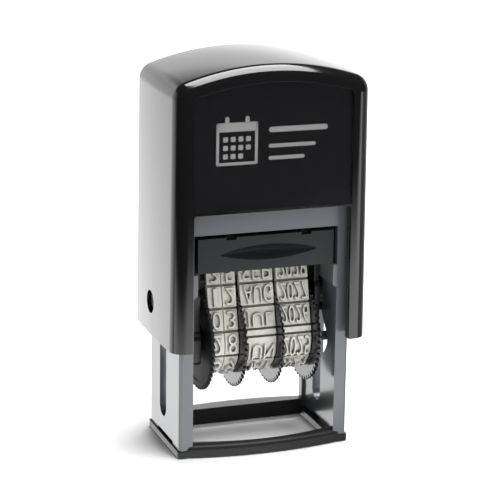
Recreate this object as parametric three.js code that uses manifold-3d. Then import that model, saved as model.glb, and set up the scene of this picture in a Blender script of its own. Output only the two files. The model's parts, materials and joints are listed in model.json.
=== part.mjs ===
// Self-inking flip date stamp: a sprung cap carries four date bands on a frame that swings
// them from an ink pad above to the paper below. Millimetres, +Z up, +Y to the back,
// origin on the table under the middle of the cap.
import * as THREE from 'three';
import { mergeVertices } from 'three/addons/utils/BufferGeometryUtils.js';
import Module from 'manifold-3d';

const wasm = await Module();
wasm.setup();

// ---- driving dimensions ---------------------------------------------------------------------
const FIXED_GAP = 0.05; // between pieces that are fixed to each other
const MERGE = 0.5; // reach of one solid into another that it is joined to
const THROUGH = 1; // reach of a cut past the face it comes out of
const CAP = {
  halfX: 19.8, halfY: 13.2, bottom: 22, corner: 3,
  crown: 76.2, crownRadius: 55.5, shoulder: 3.5, edge: 2, draft: 0.0004,
  sideWall: 1.6, frontWall: 2.0, backWall: 1.6, roof: 2.2, innerShoulder: 1.5,
  openingHalfX: 15.7, openingTop: 48.5, openingCorner: 0.6,
  pivotHole: 2.25, postRadius: 3.6, postLength: 8,
};
const PANEL = {
  halfX: 15.7, bottom: 48.9, crown: 72.8, corner: 0.8,
  recess: 1.0, gap: 0.1, window: 0.6, card: 0.25,
};
const FRAME = {
  halfX: 17.1, halfY: 9.6, bottom: 1.3, top: 50.5, corner: 0.7,
  wall: 2.2, windowHalfX: 14.4, postDepth: 1.7, bayTop: 43.75, deck: 1.0,
  backStop: 36.9, backStopDepth: 1.2, slotHalf: 2.05, slotBottom: 5.0, slotTop: 31.0,
  railHalfX: 13.6, railLow: 32, railHigh: 36.1, railChamfer: 1.2,
  collarInner: 6.2, collarOuter: 7.4, clipNotch: 0.6, clipFront: -5.2, clipBack: 4.2,
};
const FOOT = {
  halfX: 17.4, halfY: 9.9, plate: 1.25, corner: 0.7,
  holeHalfX: 13.8, holeFront: -8.0, holeFrontBulge: 2.2, holeBack: 7.0,
  lipHalfX: 15.4, lipBulge: 1.7, lipOuterHeight: 1.5, frontLipHeight: 2.5, backLipHeight: 3.2,
  lipSlope: 1.2, lipSide: 0.25, lipFrom: 6, clearance: 0.15,
};
const PAD = {
  halfX: 13.6, front: -9.4, back: 8.3, bottom: 36.3, backBottom: 38.2, top: 43.0,
  wall: 1.2, roof: 1.2, flangeHalfX: 14.1, flangeHeight: 1.5, flangeSetBack: 1.6,
  feltBottom: 38.2, feltInset: 0.1, recessX: 0.5, recessHalfX: 10.1,
  recessLow: 38.4, recessHigh: 41.2, recessDepth: 1.0,
  notchHalf: 1.0, notchDepth: 0.5, notchReach: 1.5, notchX: [-7, 8],
};
const PIVOT = {
  y: 1.15, z: 28.5, travel: 19.0,
  stub: 1.9, stubEnd: 18.6, tip: 1.45, tipEnd: 19.1, dimple: 0.5, dimpleDepth: 0.6,
};
const GUIDE = { arm: 4.0, pin: 0.9, groove: 1.2, depth: 16.2, pinEnd: 15.9, steps: 11 };
const WHEEL = { z: 20.1, radius: 10, root: 9.3, teeth: 48, drum: 5.1, bore: 1.35, axle: 1.2 };
const BAND = {
  base: 1.1, relief: 1.9, innerWheel: 5.4, innerTop: 0.4, topHalfFlat: 1.2,
  faceReach: 9.4, neutral: 0.45, cells: 12, pitch: 4.5, cellLength: 3.95,
};
const CHEEK = {
  outer: 13.4, leftInner: 11.1, rightInner: 12.3, topReach: 7.7, topHalf: 4.0, topFrom: -4,
  waistHalf: 4.6, waistTo: 3, bottomReach: 12.4, bottomHalf: 5.6, bottomTo: 3, corner: 1.8,
  axleHole: 1.25, axleEnd: 12.9, pivotHole: 1.95,
};
const BRIDGE = {
  halfY: 1.35, low: 3.6, topGap: 0.3,
  finHalfY: 2.7, finRise: 1.1, finHalfX: 0.18, finCorner: 1, finX: [-3.44, 4.17],
};
const SPRING = { radius: 4.55, wire: 0.45, low: 45.3, high: 72.9, turns: 8, stepsPerTurn: 14 };

// left and right face of each date band, and of the toothed disc that turns its wheel
const BANDS = [
  { name: 'date_band_day_tens', left: -9.6, right: -6.78, stripAfter: 7 },
  { name: 'date_band_day_units', left: -6.62, right: -3.86, stripAfter: 7 },
  { name: 'date_band_month', left: -3.02, right: 3.8, stripAfter: 3 },
  { name: 'date_band_year', left: 4.54, right: 11.05, stripAfter: 3 },
];
const WHEELS = [
  { name: 'thumb_wheel_day_tens', disc: [-10.45, -9.75], drumTo: -6.78 },
  { name: 'thumb_wheel_day_units', disc: [-3.74, -3.14], drumTo: -6.62 },
  { name: 'thumb_wheel_month', disc: [3.92, 4.42], drumTo: -3.02 },
  { name: 'thumb_wheel_year', disc: [11.2, 11.85], drumTo: 4.54 },
];

// ---- materials ------------------------------------------------------------------------------
function plastic(color, roughness) {
  return new THREE.MeshStandardMaterial({ color, roughness, metalness: 0, flatShading: true });
}
const GLOSS_BLACK = plastic(0x141416, 0.15);
const CARRIER_BLACK = plastic(0x111113, 0.4);
const FRAME_GREY = plastic(0x7a7c82, 0.35);
const FOOT_GREY = plastic(0x4a4b4d, 0.45);
const TRAY_GREY = plastic(0x3c3e40, 0.5);
const BAND_RUBBER = plastic(0xc2bfae, 0.7);
const FELT = plastic(0x1b1b20, 0.95);
const CARD = plastic(0x1d1d1f, 0.8);
const WINDOW = new THREE.MeshStandardMaterial({
  color: 0xf0f4f6, roughness: 0.1, transparent: true, opacity: 0.35,
});
const STEEL = new THREE.MeshStandardMaterial({ color: 0xb4b6ba, roughness: 0.3, metalness: 1 });

// ---- solids ---------------------------------------------------------------------------------
const ALONG_X = new THREE.Matrix4().makeBasis(
  new THREE.Vector3(0, 1, 0), new THREE.Vector3(0, 0, 1), new THREE.Vector3(1, 0, 0));
const ALONG_Y = new THREE.Matrix4().makeBasis(
  new THREE.Vector3(1, 0, 0), new THREE.Vector3(0, 0, 1), new THREE.Vector3(0, -1, 0));

function solid(geometry) {
  const bare = geometry.clone();
  bare.deleteAttribute('normal');
  bare.deleteAttribute('uv');
  const merged = mergeVertices(bare, 1e-4);
  return new wasm.Manifold(new wasm.Mesh({
    numProp: 3,
    vertProperties: new Float32Array(merged.attributes.position.array),
    triVerts: new Uint32Array(merged.index.array),
  }));
}

function geometryOf(manifold) {
  const mesh = manifold.getMesh();
  const geometry = new THREE.BufferGeometry();
  geometry.setAttribute('position', new THREE.BufferAttribute(new Float32Array(mesh.vertProperties), 3));
  geometry.setIndex(new THREE.BufferAttribute(new Uint32Array(mesh.triVerts), 1));
  return geometry;
}

function unite(pieces) {
  return pieces.reduce((whole, piece) => whole.add(piece));
}

function cutAll(body, cutters) {
  return cutters.reduce((left, cutter) => left.subtract(cutter), body);
}

function box(x0, x1, y0, y1, z0, z1) {
  const geometry = new THREE.BoxGeometry(x1 - x0, y1 - y0, z1 - z0);
  geometry.translate((x0 + x1) / 2, (y0 + y1) / 2, (z0 + z1) / 2);
  return solid(geometry);
}

function extrude(shape, depth, curveSegments) {
  return new THREE.ExtrudeGeometry(shape, { depth, bevelEnabled: false, curveSegments });
}

// a shape drawn in (Y, Z), from x0 to x1
function extrudeX(shape, x0, x1, curveSegments = 8) {
  const geometry = extrude(shape, x1 - x0, curveSegments);
  geometry.applyMatrix4(ALONG_X).translate(x0, 0, 0);
  return solid(geometry);
}

// a shape drawn in (X, Z), from y0 to y1
function extrudeY(shape, y0, y1, curveSegments = 8) {
  const geometry = extrude(shape, y1 - y0, curveSegments);
  geometry.applyMatrix4(ALONG_Y).translate(0, y1, 0);
  return solid(geometry);
}

// a shape drawn in (X, Y), from z0 to z1
function extrudeZ(shape, z0, z1, curveSegments = 8) {
  const geometry = extrude(shape, z1 - z0, curveSegments);
  geometry.translate(0, 0, z0);
  return solid(geometry);
}

function rodX(radius, x0, x1, y, z, segments = 24) {
  const geometry = new THREE.CylinderGeometry(radius, radius, x1 - x0, segments);
  geometry.rotateZ(Math.PI / 2).translate((x0 + x1) / 2, y, z);
  return solid(geometry);
}

function rodZ(radius, z0, z1, segments = 32) {
  const geometry = new THREE.CylinderGeometry(radius, radius, z1 - z0, segments);
  geometry.rotateX(Math.PI / 2).translate(0, 0, (z0 + z1) / 2);
  return solid(geometry);
}

function roundedRect(u0, u1, v0, v1, r) {
  const shape = new THREE.Shape();
  shape.absarc(u1 - r, v0 + r, r, -Math.PI / 2, 0, false);
  shape.absarc(u1 - r, v1 - r, r, 0, Math.PI / 2, false);
  shape.absarc(u0 + r, v1 - r, r, Math.PI / 2, Math.PI, false);
  shape.absarc(u0 + r, v0 + r, r, Math.PI, Math.PI * 1.5, false);
  shape.closePath();
  return shape;
}

// rounded rectangle in (Y, Z), centred in depth on the pivot
function pivotRect(halfY, z0, z1, r) {
  return roundedRect(PIVOT.y - halfY, PIVOT.y + halfY, z0, z1, r);
}

// upright outline in (X, Z) under an arched top, with round shoulders of radius r
function archedOutline(halfX, bottom, crown, crownRadius, r) {
  const centre = crown - crownRadius;
  const shoulderX = halfX - r;
  const shoulderZ = centre + Math.sqrt((crownRadius - r) ** 2 - shoulderX ** 2);
  const lean = Math.atan2(shoulderZ - centre, shoulderX);
  const shape = new THREE.Shape();
  shape.moveTo(-halfX, bottom);
  shape.lineTo(halfX, bottom);
  shape.absarc(shoulderX, shoulderZ, r, 0, lean, false);
  shape.absarc(0, centre, crownRadius, lean, Math.PI - lean, false);
  shape.absarc(-shoulderX, shoulderZ, r, Math.PI - lean, Math.PI, false);
  shape.closePath();
  return shape;
}

// moulding draft of the cap and of what is set into it: sections shrink towards the top
function drafted(manifold) {
  const geometry = geometryOf(manifold);
  const position = geometry.attributes.position;
  for (let i = 0; i < position.count; i += 1) {
    const scale = 1 - CAP.draft * (position.getZ(i) - CAP.bottom);
    position.setX(i, position.getX(i) * scale);
    position.setY(i, position.getY(i) * scale);
  }
  return geometry;
}

const stamp = new THREE.Group();

function add(name, geometry, material) {
  const mesh = new THREE.Mesh(geometry, material);
  mesh.name = name;
  stamp.add(mesh);
}

// ---- cap ------------------------------------------------------------------------------------
// a barrel about the crown's axis that rounds the long top edges
function crownBarrel() {
  const inset = CAP.crownRadius - CAP.edge;
  const flat = CAP.halfY - CAP.edge;
  const profile = [new THREE.Vector2(0, -CAP.halfY)];
  for (let i = 0; i <= 4; i += 1) {
    const a = (i / 4) * Math.PI / 2;
    profile.push(new THREE.Vector2(inset + CAP.edge * Math.sin(a), -flat - CAP.edge * Math.cos(a)));
  }
  for (let i = 0; i <= 4; i += 1) {
    const a = (i / 4) * Math.PI / 2;
    profile.push(new THREE.Vector2(inset + CAP.edge * Math.cos(a), flat + CAP.edge * Math.sin(a)));
  }
  profile.push(new THREE.Vector2(0, CAP.halfY));
  const geometry = new THREE.LatheGeometry(profile, 120);
  geometry.translate(0, 0, CAP.crown - CAP.crownRadius);
  return solid(geometry);
}

function panelOutline(grow) {
  const crown = PANEL.crown + grow;
  const radius = crown - (CAP.crown - CAP.crownRadius);
  return archedOutline(PANEL.halfX + grow, PANEL.bottom - grow, crown, radius, PANEL.corner + grow);
}

function capShell() {
  const plan = roundedRect(-CAP.halfX, CAP.halfX, -CAP.halfY, CAP.halfY, CAP.corner);
  const block = extrudeZ(plan, CAP.bottom, CAP.crown + THROUGH, 5);
  const front = archedOutline(CAP.halfX, CAP.bottom - THROUGH, CAP.crown, CAP.crownRadius, CAP.shoulder);
  const outline = extrudeY(front, -CAP.halfY - THROUGH, CAP.halfY + THROUGH, 8);
  const outside = block.intersect(outline).intersect(crownBarrel());
  const innerX = CAP.halfX - CAP.sideWall;
  const innerRoof = archedOutline(
    innerX, CAP.bottom - THROUGH, CAP.crown - CAP.roof, CAP.crownRadius - CAP.roof, CAP.innerShoulder);
  const hollow = extrudeY(innerRoof, -CAP.halfY + CAP.frontWall, CAP.halfY - CAP.backWall, 8);
  const opening = roundedRect(-CAP.openingHalfX, CAP.openingHalfX, 0, CAP.openingTop, CAP.openingCorner);
  const shell = cutAll(outside, [
    hollow,
    extrudeY(opening, -CAP.halfY - THROUGH, -CAP.halfY + CAP.frontWall + THROUGH, 4),
    rodX(CAP.pivotHole, -CAP.halfX - THROUGH, CAP.halfX + THROUGH, PIVOT.y, PIVOT.z, 28),
    extrudeY(panelOutline(PANEL.gap), -CAP.halfY - THROUGH, -CAP.halfY + PANEL.recess, 4),
  ]);
  const postTop = CAP.crown - CAP.roof / 2;
  return shell.add(rodZ(CAP.postRadius, postTop - CAP.postLength, postTop, 24));
}

function panelPlate(depthFromFront, thickness) {
  const y = -CAP.halfY + depthFromFront;
  return extrudeY(panelOutline(0), y, y + thickness, 4);
}

// ---- frame ----------------------------------------------------------------------------------
function bothSides(make) {
  return [make(-1), make(1)];
}

function sideBox(side, nearX, farX, y0, y1, z0, z1) {
  return side < 0 ? box(-farX, -nearX, y0, y1, z0, z1) : box(nearX, farX, y0, y1, z0, z1);
}

// the curved track in which a cheek's guide pin runs while the carrier turns over
function guideTrack(side) {
  const links = [];
  let previous = null;
  for (let i = 0; i <= GUIDE.steps; i += 1) {
    const turn = (i / GUIDE.steps) * Math.PI;
    const y = PIVOT.y - GUIDE.arm * Math.sin(turn);
    const z = PIVOT.z - (PIVOT.travel * turn) / Math.PI - GUIDE.arm * Math.cos(turn);
    if (previous) {
      links.push(trackLink(side, previous, [y, z]));
    }
    previous = [y, z];
  }
  return unite(links);
}

function trackLink(side, from, to) {
  const heading = Math.atan2(to[1] - from[1], to[0] - from[0]);
  const shape = new THREE.Shape();
  shape.absarc(from[0], from[1], GUIDE.groove, heading + Math.PI / 2, heading + Math.PI * 1.5, false);
  shape.absarc(to[0], to[1], GUIDE.groove, heading - Math.PI / 2, heading + Math.PI / 2, false);
  shape.closePath();
  const near = FRAME.halfX - FRAME.wall - THROUGH;
  return side < 0 ? extrudeX(shape, -GUIDE.depth, -near, 3) : extrudeX(shape, near, GUIDE.depth, 3);
}

function padRail(side) {
  const inner = FRAME.railHalfX;
  const outer = FRAME.halfX - FRAME.wall + MERGE;
  const shape = new THREE.Shape();
  shape.moveTo(side * inner, FRAME.railHigh);
  shape.lineTo(side * inner, FRAME.railLow);
  shape.lineTo(side * outer, FRAME.railLow - FRAME.railChamfer);
  shape.lineTo(side * outer, FRAME.railHigh);
  shape.closePath();
  return extrudeY(shape, -FRAME.halfY, FRAME.halfY);
}

// a gap under a side wall, for the clips that hold the foot
function clipNotch(side) {
  const near = FRAME.halfX - FRAME.wall - THROUGH;
  const top = FRAME.bottom + FRAME.clipNotch;
  return sideBox(side, near, FRAME.halfX + THROUGH, FRAME.clipFront, FRAME.clipBack, 0, top);
}

function frameHousing() {
  const innerX = FRAME.halfX - FRAME.wall;
  const innerY = FRAME.halfY - FRAME.postDepth;
  const throughY = FRAME.halfY + THROUGH;
  const plan = roundedRect(-FRAME.halfX, FRAME.halfX, -FRAME.halfY, FRAME.halfY, FRAME.corner);
  const block = extrudeZ(plan, FRAME.bottom, FRAME.top, 3);
  const deckTop = FRAME.bayTop + FRAME.deck;
  const opened = cutAll(block, [
    box(-FRAME.windowHalfX, FRAME.windowHalfX, -throughY, throughY, 0, FRAME.bayTop),
    box(-innerX, innerX, -innerY, innerY, 0, FRAME.bayTop),
    box(-innerX, innerX, -innerY, innerY, deckTop, FRAME.top + THROUGH),
  ]);
  const stopY = FRAME.halfY - FRAME.backStopDepth;
  const stopHalfX = FRAME.windowHalfX + MERGE;
  const collar = rodZ(FRAME.collarOuter, deckTop - MERGE, FRAME.top).subtract(
    rodZ(FRAME.collarInner, deckTop - MERGE - THROUGH, FRAME.top + THROUGH));
  const built = unite([
    opened,
    ...bothSides(padRail),
    box(-stopHalfX, stopHalfX, stopY, FRAME.halfY, FRAME.backStop, FRAME.bayTop + MERGE),
    collar,
  ]);
  const slot = pivotRect(FRAME.slotHalf, FRAME.slotBottom, FRAME.slotTop, FRAME.slotHalf - FIXED_GAP);
  return cutAll(built, [
    extrudeX(slot, -FRAME.halfX - THROUGH, FRAME.halfX + THROUGH, 8),
    ...bothSides(guideTrack),
    ...bothSides(clipNotch),
  ]);
}

// ---- foot -----------------------------------------------------------------------------------
// bowed strip in (X, Y) between y = near at |x| = halfX and y = near + bulge in the middle
function bowedStrip(halfX, inner, outer, bulge) {
  const shape = new THREE.Shape();
  shape.moveTo(-halfX, inner);
  shape.lineTo(halfX, inner);
  shape.lineTo(halfX, outer);
  for (let i = 1; i < 12; i += 1) {
    const x = halfX * (1 - (2 * i) / 12);
    shape.lineTo(x, outer + bulge * (1 - (x / halfX) ** 2));
  }
  shape.lineTo(-halfX, outer);
  shape.closePath();
  return shape;
}

// one lip: a bowed strip whose upper outer edge slopes in
function footLip(sign, height) {
  const steps = 3;
  const rise = height - FOOT.lipOuterHeight;
  const inner = sign * FOOT.lipFrom;
  const layers = [];
  for (let i = 0; i <= steps; i += 1) {
    const top = FOOT.lipOuterHeight + (rise * i) / steps;
    const back = (FOOT.lipSlope * i) / steps;
    const half = FOOT.lipHalfX - (FOOT.lipSide * i) / steps;
    const strip = bowedStrip(half, inner, sign * (FOOT.halfY - back), sign * FOOT.lipBulge);
    layers.push(extrudeZ(strip, 0, top));
  }
  return unite(layers);
}

function footRing() {
  const plan = roundedRect(-FOOT.halfX, FOOT.halfX, -FOOT.halfY, FOOT.halfY, FOOT.corner);
  const plate = extrudeZ(plan, 0, FOOT.plate, 3);
  const ring = unite([plate, footLip(-1, FOOT.frontLipHeight), footLip(1, FOOT.backLipHeight)]);
  const hole = bowedStrip(FOOT.holeHalfX, FOOT.holeBack, FOOT.holeFront, -FOOT.holeFrontBulge);
  const clearX = FRAME.windowHalfX - FOOT.clearance;
  const clearY = FRAME.halfY + FOOT.clearance;
  const above = FOOT.backLipHeight + THROUGH;
  return cutAll(ring, [
    extrudeZ(hole, -THROUGH, above),
    ...bothSides((side) => sideBox(side, clearX, FOOT.halfX, -clearY, clearY, FOOT.plate, above)),
  ]);
}

// ---- ink cartridge --------------------------------------------------------------------------
function lensShape(x, halfX, low, high) {
  const shape = new THREE.Shape();
  shape.moveTo(x - halfX, (low + high) / 2);
  shape.quadraticCurveTo(x, low - (high - low) / 2, x + halfX, (low + high) / 2);
  shape.quadraticCurveTo(x, high + (high - low) / 2, x - halfX, (low + high) / 2);
  return shape;
}

// an upturned tray; its back wall stops above the print face, so that it can be drawn out
function padTray() {
  const flangeTop = PAD.bottom + PAD.flangeHeight;
  const body = unite([
    box(-PAD.halfX, PAD.halfX, PAD.front, PAD.back, PAD.bottom, PAD.top),
    box(-PAD.flangeHalfX, PAD.flangeHalfX, PAD.front + PAD.flangeSetBack, PAD.back, PAD.bottom, flangeTop),
  ]);
  const inX = PAD.halfX - PAD.wall;
  const lens = lensShape(PAD.recessX, PAD.recessHalfX, PAD.recessLow, PAD.recessHigh);
  const notches = PAD.notchX.map((x) => box(
    x - PAD.notchHalf, x + PAD.notchHalf, PAD.front - THROUGH, PAD.front + PAD.notchReach,
    PAD.top - PAD.notchDepth, PAD.top + THROUGH));
  return cutAll(body, [
    box(-inX, inX, PAD.front + PAD.wall + PAD.recessDepth, PAD.back - PAD.wall, 0, PAD.top - PAD.roof),
    box(-inX, inX, PAD.back - PAD.wall - THROUGH, PAD.back + THROUGH, 0, PAD.backBottom),
    extrudeY(lens, PAD.front - THROUGH, PAD.front + PAD.recessDepth, 10),
    ...notches,
  ]);
}

function inkPad() {
  const inX = PAD.halfX - PAD.wall - PAD.feltInset;
  const front = PAD.front + PAD.wall + PAD.recessDepth + PAD.feltInset;
  const back = PAD.back - PAD.wall - PAD.feltInset;
  return box(-inX, inX, front, back, PAD.feltBottom, PAD.top - PAD.roof - FIXED_GAP);
}

// ---- carrier --------------------------------------------------------------------------------
function cheekOutline() {
  const top = PIVOT.z + CHEEK.topReach;
  const low = PIVOT.z - CHEEK.bottomReach;
  return [
    pivotRect(CHEEK.topHalf, PIVOT.z + CHEEK.topFrom, top, CHEEK.corner),
    pivotRect(CHEEK.waistHalf, low, PIVOT.z + CHEEK.waistTo, CHEEK.corner),
    pivotRect(CHEEK.bottomHalf, low, WHEEL.z + CHEEK.bottomTo, CHEEK.corner),
  ];
}

function cheek(side, inner) {
  const from = side < 0 ? -CHEEK.outer : inner;
  const to = side < 0 ? -inner : CHEEK.outer;
  const plate = unite(cheekOutline().map((shape) => extrudeX(shape, from, to, 4)));
  const guideZ = PIVOT.z - GUIDE.arm;
  const pin = side < 0
    ? rodX(GUIDE.pin, -GUIDE.pinEnd, MERGE - CHEEK.outer, PIVOT.y, guideZ)
    : rodX(GUIDE.pin, CHEEK.outer - MERGE, GUIDE.pinEnd, PIVOT.y, guideZ);
  const axleRoom = CHEEK.axleEnd + 2 * FIXED_GAP;
  return cutAll(plate.add(pin), [
    rodX(CHEEK.axleHole, -axleRoom, axleRoom, PIVOT.y, WHEEL.z),
    rodX(CHEEK.pivotHole, -PIVOT.tipEnd, PIVOT.tipEnd, PIVOT.y, PIVOT.z),
  ]);
}

// the pin that the carrier turns on: through one cheek, the frame's slot and the cap's side
function pivotPin(side, inner) {
  const span = (radius, near, far) => (side < 0
    ? rodX(radius, -far, -near, PIVOT.y, PIVOT.z)
    : rodX(radius, near, far, PIVOT.y, PIVOT.z));
  const pin = span(PIVOT.stub, inner, PIVOT.stubEnd).add(span(PIVOT.tip, inner, PIVOT.tipEnd));
  return pin.subtract(span(PIVOT.dimple, PIVOT.tipEnd - PIVOT.dimpleDepth, PIVOT.tipEnd + THROUGH));
}

// the bar that the bands run over at the print end, with fins that keep neighbouring bands apart
function printBridge() {
  const top = PIVOT.z + BAND.faceReach - BAND.relief - BRIDGE.topGap;
  const low = PIVOT.z + BRIDGE.low;
  const bar = pivotRect(BRIDGE.halfY, low, top, BAND.innerTop);
  const fin = pivotRect(BRIDGE.finHalfY, low, top + BRIDGE.finRise, BRIDGE.finCorner);
  return unite([
    extrudeX(bar, -CHEEK.leftInner + FIXED_GAP, CHEEK.rightInner - FIXED_GAP, 3),
    ...BRIDGE.finX.map((x) => extrudeX(fin, x - BRIDGE.finHalfX, x + BRIDGE.finHalfX, 3)),
  ]);
}

// ---- date bands -----------------------------------------------------------------------------
// The loop runs from the middle of the print face, down the front, round the wheel and up the back.
// It is a flat, a corner arc and a straight side, then half of the wheel arc, mirrored.
function loopLengths() {
  const topZ = PIVOT.z + BAND.faceReach - BAND.relief - BAND.innerTop;
  const dy = BAND.topHalfFlat;
  const dz = topZ - WHEEL.z;
  const span = Math.hypot(dy, dz);
  const shrink = BAND.innerWheel - BAND.innerTop;
  const lean = Math.atan2(dz, dy) - Math.acos(shrink / span);
  const straight = Math.sqrt(span ** 2 - shrink ** 2);
  const cornerArc = (BAND.innerTop + BAND.neutral) * (Math.PI / 2 - lean);
  const wheelArc = (BAND.innerWheel + BAND.neutral) * (Math.PI / 2 + lean);
  return { topZ, lean, straight, cornerArc, wheelArc };
}
const LOOP = loopLengths();
const HALF_LOOP = BAND.topHalfFlat + LOOP.cornerArc + LOOP.straight + LOOP.wheelArc;

// point on the loop at the distance s from the print face, raised by offset from its inside
function loopPoint(s, offset) {
  const wrapped = ((s % (2 * HALF_LOOP)) + 2 * HALF_LOOP) % (2 * HALF_LOOP);
  const side = wrapped <= HALF_LOOP ? -1 : 1;
  let rest = side < 0 ? wrapped : 2 * HALF_LOOP - wrapped;
  if (rest <= BAND.topHalfFlat) {
    return [PIVOT.y + side * rest, LOOP.topZ + BAND.innerTop + offset];
  }
  rest -= BAND.topHalfFlat;
  if (rest <= LOOP.cornerArc) {
    const angle = Math.PI / 2 - rest / (BAND.innerTop + BAND.neutral);
    return arcPoint(side, BAND.topHalfFlat, LOOP.topZ, BAND.innerTop + offset, angle);
  }
  rest -= LOOP.cornerArc;
  if (rest <= LOOP.straight) {
    const start = arcPoint(side, BAND.topHalfFlat, LOOP.topZ, BAND.innerTop + offset, LOOP.lean);
    return [start[0] + side * rest * Math.sin(LOOP.lean), start[1] - rest * Math.cos(LOOP.lean)];
  }
  rest -= LOOP.straight;
  const angle = LOOP.lean - rest / (BAND.innerWheel + BAND.neutral);
  return arcPoint(side, 0, WHEEL.z, BAND.innerWheel + offset, angle);
}

function arcPoint(side, centreY, centreZ, radius, angle) {
  return [PIVOT.y + side * (centreY + radius * Math.cos(angle)), centreZ + radius * Math.sin(angle)];
}

// distances along the loop that catch both ends of every flat and arc
function loopStations() {
  const half = [];
  const corner = 3;
  const wheel = 14;
  for (let i = 0; i <= corner; i += 1) {
    half.push(BAND.topHalfFlat + (LOOP.cornerArc * i) / corner);
  }
  for (let i = 0; i < wheel; i += 1) {
    half.push(HALF_LOOP - LOOP.wheelArc * (1 - i / wheel));
  }
  const back = half.map((s) => 2 * HALF_LOOP - s).reverse();
  return [...half, HALF_LOOP, ...back];
}

function bandOutline(stripAfter) {
  const strip = 2 * HALF_LOOP - BAND.cells * BAND.pitch;
  const points = [];
  for (let cell = 0; cell < BAND.cells; cell += 1) {
    const middle = cell * BAND.pitch + (cell > stripAfter ? strip : 0);
    const first = middle - BAND.cellLength / 2;
    points.push(loopPoint(first, BAND.base));
    for (let i = 0; i <= 4; i += 1) {
      points.push(loopPoint(first + (BAND.cellLength * i) / 4, BAND.relief));
    }
    points.push(loopPoint(first + BAND.cellLength, BAND.base));
    if (cell === stripAfter) {
      const from = middle + BAND.pitch / 2;
      points.push(loopPoint(from + strip * 0.15, BAND.base));
      points.push(loopPoint(from + strip * 0.15, BAND.relief - 0.1));
      points.push(loopPoint(from + strip * 0.5, BAND.relief - 0.1));
      points.push(loopPoint(from + strip * 0.85, BAND.relief - 0.1));
      points.push(loopPoint(from + strip * 0.85, BAND.base));
    }
  }
  return points.map(([y, z]) => new THREE.Vector2(y, z));
}

function dateBand(band) {
  const shape = new THREE.Shape(bandOutline(band.stripAfter));
  const inside = loopStations().map((s) => new THREE.Vector2(...loopPoint(s, 0)));
  shape.holes.push(new THREE.Path(inside));
  return extrudeX(shape, band.left, band.right);
}

// ---- thumb wheels ---------------------------------------------------------------------------
function toothedOutline() {
  const points = [];
  const corners = [[0, WHEEL.root], [0.3, WHEEL.radius], [0.6, WHEEL.radius]];
  for (let i = 0; i < WHEEL.teeth; i += 1) {
    corners.forEach(([part, radius]) => {
      const angle = ((i + part) / WHEEL.teeth) * Math.PI * 2;
      const y = PIVOT.y + radius * Math.cos(angle);
      points.push(new THREE.Vector2(y, WHEEL.z + radius * Math.sin(angle)));
    });
  }
  return new THREE.Shape(points);
}

function thumbWheel(wheel) {
  const [near, far] = wheel.disc;
  const towardsRight = wheel.drumTo > far;
  const drumFrom = towardsRight ? near + 0.1 : wheel.drumTo;
  const drumTo = towardsRight ? wheel.drumTo : far - 0.1;
  const body = extrudeX(toothedOutline(), near, far).add(
    rodX(WHEEL.drum, drumFrom, drumTo, PIVOT.y, WHEEL.z, 32));
  return body.subtract(rodX(WHEEL.bore, near - 20, far + 20, PIVOT.y, WHEEL.z, 24));
}

function wheelAxle() {
  return rodX(WHEEL.axle, -CHEEK.axleEnd, CHEEK.axleEnd, PIVOT.y, WHEEL.z, 24);
}

// ---- spring ---------------------------------------------------------------------------------
class Helix extends THREE.Curve {
  getPoint(t, target = new THREE.Vector3()) {
    const angle = t * SPRING.turns * Math.PI * 2;
    const z = SPRING.low + (SPRING.high - SPRING.low) * t;
    return target.set(SPRING.radius * Math.cos(angle), SPRING.radius * Math.sin(angle), z);
  }
}

function returnSpring() {
  const section = new THREE.Shape();
  section.absarc(0, 0, SPRING.wire, 0, Math.PI * 2, false);
  const geometry = new THREE.ExtrudeGeometry(section, {
    steps: SPRING.turns * SPRING.stepsPerTurn,
    extrudePath: new Helix(),
    curveSegments: 6,
    bevelEnabled: false,
  });
  return geometryOf(solid(geometry));
}

// ---- assembly -------------------------------------------------------------------------------
add('foot_ring', geometryOf(footRing()), FOOT_GREY);
add('frame_housing', geometryOf(frameHousing()), FRAME_GREY);
add('return_spring', returnSpring(), STEEL);
add('cap_shell', drafted(capShell()), GLOSS_BLACK);
add('index_window', drafted(panelPlate(FIXED_GAP, PANEL.window)), WINDOW);
add('index_card', drafted(panelPlate(PANEL.window + 2 * FIXED_GAP, PANEL.card)), CARD);
add('pad_tray', geometryOf(padTray()), TRAY_GREY);
add('ink_pad', geometryOf(inkPad()), FELT);
add('carrier_cheek_left', geometryOf(cheek(-1, CHEEK.leftInner)), CARRIER_BLACK);
add('carrier_cheek_right', geometryOf(cheek(1, CHEEK.rightInner)), CARRIER_BLACK);
add('pivot_pin_left', geometryOf(pivotPin(-1, CHEEK.leftInner)), CARRIER_BLACK);
add('pivot_pin_right', geometryOf(pivotPin(1, CHEEK.rightInner)), CARRIER_BLACK);
add('print_bridge', geometryOf(printBridge()), CARRIER_BLACK);
add('wheel_axle', geometryOf(wheelAxle()), STEEL);
BANDS.forEach((band) => add(band.name, geometryOf(dateBand(band)), BAND_RUBBER));
WHEELS.forEach((wheel) => add(wheel.name, geometryOf(thumbWheel(wheel)), CARRIER_BLACK));

export default stamp;
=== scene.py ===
"""Self-inking flip date stamp: fine pieces, materials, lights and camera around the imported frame.

Pieces are modelled in millimetres, in the frame's own axes, and turned into metres when they are finished.
"""
import json
import math
import random

import bmesh
import bpy
from mathutils import Matrix, Vector


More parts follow.
